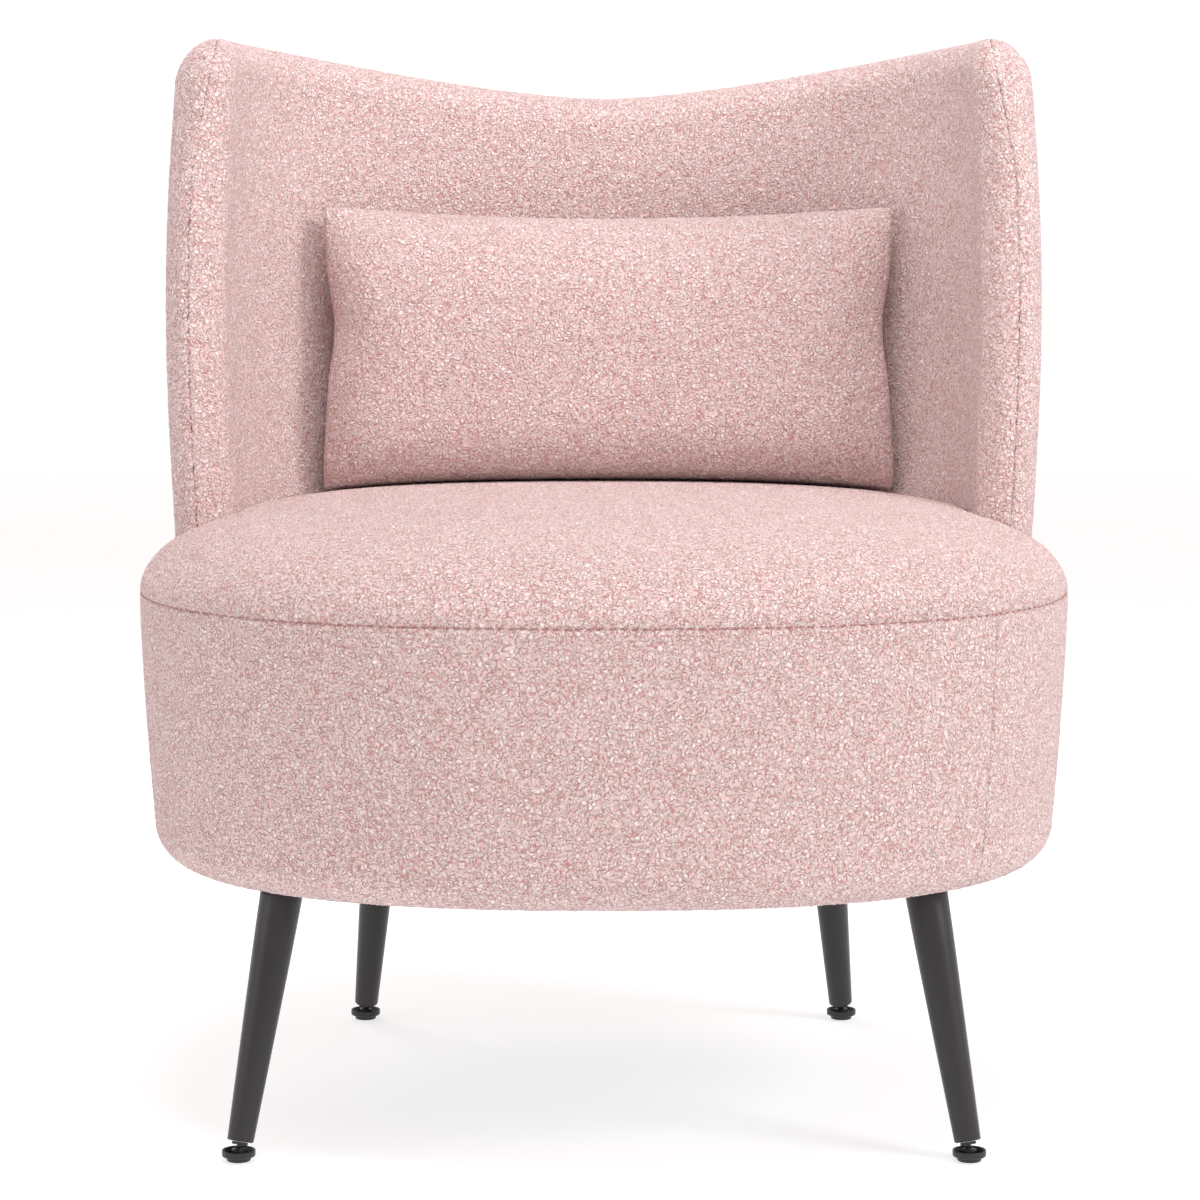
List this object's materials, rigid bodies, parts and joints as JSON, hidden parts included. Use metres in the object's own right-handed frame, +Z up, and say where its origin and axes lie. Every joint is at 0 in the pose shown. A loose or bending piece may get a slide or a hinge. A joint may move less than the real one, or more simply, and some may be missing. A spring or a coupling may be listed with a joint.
{
  "type": "upholstered lounge chair",
  "caption": "Upholstered lounge chair: oval drum seat, wrap-round leaning back with raised wings, loose lumbar pillow and splayed tapered legs on screw glides.",
  "frame": {"origin": "on the floor under the centre of the chair's bounding box", "axes": "+Z up, the chair faces -Y, +X is the sitter's left"},
  "size_m": [0.726, 0.6492, 0.838],
  "materials": {
    "teddy_fleece": "matte",
    "foam": "matte",
    "pillow_filling": "matte",
    "dust_cloth": "matte",
    "felt": "matte",
    "plywood": "satin",
    "fibreboard": "matte",
    "spring_steel": "satin",
    "black_steel": "satin",
    "zinc_steel": "satin",
    "glide_plastic": "satin"
  },
  "bodies": {
    "root": {"back_bolt_1": "zinc_steel", "back_bolt_2": "zinc_steel", "back_bolt_3": "zinc_steel", "back_bolt_4": "zinc_steel", "back_bottom_rail": "plywood", "back_foam": "foam", "back_inner_cover": "teddy_fleece", "back_outer_cover": "teddy_fleece", "back_panel": "fibreboard", "back_rib_1": "plywood", "back_rib_2": "plywood", "back_rib_3": "plywood", "back_rib_4": "plywood", "back_rib_5": "plywood", "back_top_rail": "plywood", "base_board": "plywood", "border_board": "fibreboard", "border_foam": "foam", "dust_cover": "dust_cloth", "leg_front_left": "black_steel", "leg_front_right": "black_steel", "leg_rear_left": "black_steel", "leg_rear_right": "black_steel", "seat_foam": "foam", "seat_front_band": "teddy_fleece", "seat_post_1": "plywood", "seat_post_2": "plywood", "seat_post_3": "plywood", "seat_post_4": "plywood", "seat_post_5": "plywood", "seat_post_6": "plywood", "seat_rear_band": "teddy_fleece", "seat_spring_1": "spring_steel", "seat_spring_2": "spring_steel", "seat_spring_3": "spring_steel", "seat_spring_4": "spring_steel", "seat_spring_5": "spring_steel", "seat_top_cover": "teddy_fleece", "spring_felt": "felt", "spring_ring": "plywood", "tee_nut_front_left": "zinc_steel", "tee_nut_front_right": "zinc_steel", "tee_nut_rear_left": "zinc_steel", "tee_nut_rear_right": "zinc_steel"},
    "stem_front_left": {"glide_stem_front_left": "black_steel"},
    "hex_front_left": {"glide_hex_front_left": "black_steel"},
    "foot_front_left": {"glide_foot_front_left": "glide_plastic"},
    "stem_front_right": {"glide_stem_front_right": "black_steel"},
    "hex_front_right": {"glide_hex_front_right": "black_steel"},
    "foot_front_right": {"glide_foot_front_right": "glide_plastic"},
    "stem_rear_left": {"glide_stem_rear_left": "black_steel"},
    "hex_rear_left": {"glide_hex_rear_left": "black_steel"},
    "foot_rear_left": {"glide_foot_rear_left": "glide_plastic"},
    "stem_rear_right": {"glide_stem_rear_right": "black_steel"},
    "hex_rear_right": {"glide_hex_rear_right": "black_steel"},
    "foot_rear_right": {"glide_foot_rear_right": "glide_plastic"},
    "pillow": {"pillow_front_panel": "teddy_fleece", "pillow_rear_panel": "teddy_fleece", "pillow_fill": "pillow_filling"}
  },
  "joints": [
    {"name": "front_left_glide_travel", "type": "slide", "parent": "root", "child": "stem_front_left", "axis": [-0.1501, -0.2802, -0.9481], "range_m": [0, 0.01]},
    {"name": "front_left_glide_turn", "type": "hinge", "parent": "stem_front_left", "child": "hex_front_left", "pos_m": [-0.27199, -0.24158, 0.0072], "axis": [-0.1501, -0.2802, -0.9481], "range_deg": [0, 2880]},
    {"name": "front_left_foot_tilt", "type": "hinge", "parent": "hex_front_left", "child": "foot_front_left", "pos_m": [-0.27199, -0.24158, 0.0072], "axis": [-0.8815, 0.4722, 0], "range_deg": [-6, 6]},
    {"name": "front_right_glide_travel", "type": "slide", "parent": "root", "child": "stem_front_right", "axis": [0.1501, -0.2802, -0.9481], "range_m": [0, 0.01]},
    {"name": "front_right_glide_turn", "type": "hinge", "parent": "stem_front_right", "child": "hex_front_right", "pos_m": [0.27199, -0.24158, 0.0072], "axis": [0.1501, -0.2802, -0.9481], "range_deg": [0, 2880]},
    {"name": "front_right_foot_tilt", "type": "hinge", "parent": "hex_front_right", "child": "foot_front_right", "pos_m": [0.27199, -0.24158, 0.0072], "axis": [-0.8815, -0.4722, 0], "range_deg": [-6, 6]},
    {"name": "rear_left_glide_travel", "type": "slide", "parent": "root", "child": "stem_rear_left", "axis": [-0.0975, 0.2105, -0.9727], "range_m": [0, 0.01]},
    {"name": "rear_left_glide_turn", "type": "hinge", "parent": "stem_rear_left", "child": "hex_rear_left", "pos_m": [-0.20702, 0.22842, 0.0072], "axis": [-0.0975, 0.2105, -0.9727], "range_deg": [0, 2880]},
    {"name": "rear_left_foot_tilt", "type": "hinge", "parent": "hex_rear_left", "child": "foot_rear_left", "pos_m": [-0.20702, 0.22842, 0.0072], "axis": [0.9073, 0.4205, 0], "range_deg": [-6, 6]},
    {"name": "rear_right_glide_travel", "type": "slide", "parent": "root", "child": "stem_rear_right", "axis": [0.0975, 0.2105, -0.9727], "range_m": [0, 0.01]},
    {"name": "rear_right_glide_turn", "type": "hinge", "parent": "stem_rear_right", "child": "hex_rear_right", "pos_m": [0.20702, 0.22842, 0.0072], "axis": [0.0975, 0.2105, -0.9727], "range_deg": [0, 2880]},
    {"name": "rear_right_foot_tilt", "type": "hinge", "parent": "hex_rear_right", "child": "foot_rear_right", "pos_m": [0.20702, 0.22842, 0.0072], "axis": [0.9073, -0.4205, 0], "range_deg": [-6, 6]},
    {"name": "pillow_lift", "type": "slide", "parent": "root", "child": "pillow", "axis": [0, 0, 1], "range_m": [0, 0.4]}
  ],
  "couplings": [
    {"joint": "front_left_glide_travel", "follows": "front_left_glide_turn", "m_per_rad": 0.00019894},
    {"joint": "front_right_glide_travel", "follows": "front_right_glide_turn", "m_per_rad": 0.00019894},
    {"joint": "rear_left_glide_travel", "follows": "rear_left_glide_turn", "m_per_rad": 0.00019894},
    {"joint": "rear_right_glide_travel", "follows": "rear_right_glide_turn", "m_per_rad": 0.00019894}
  ]
}
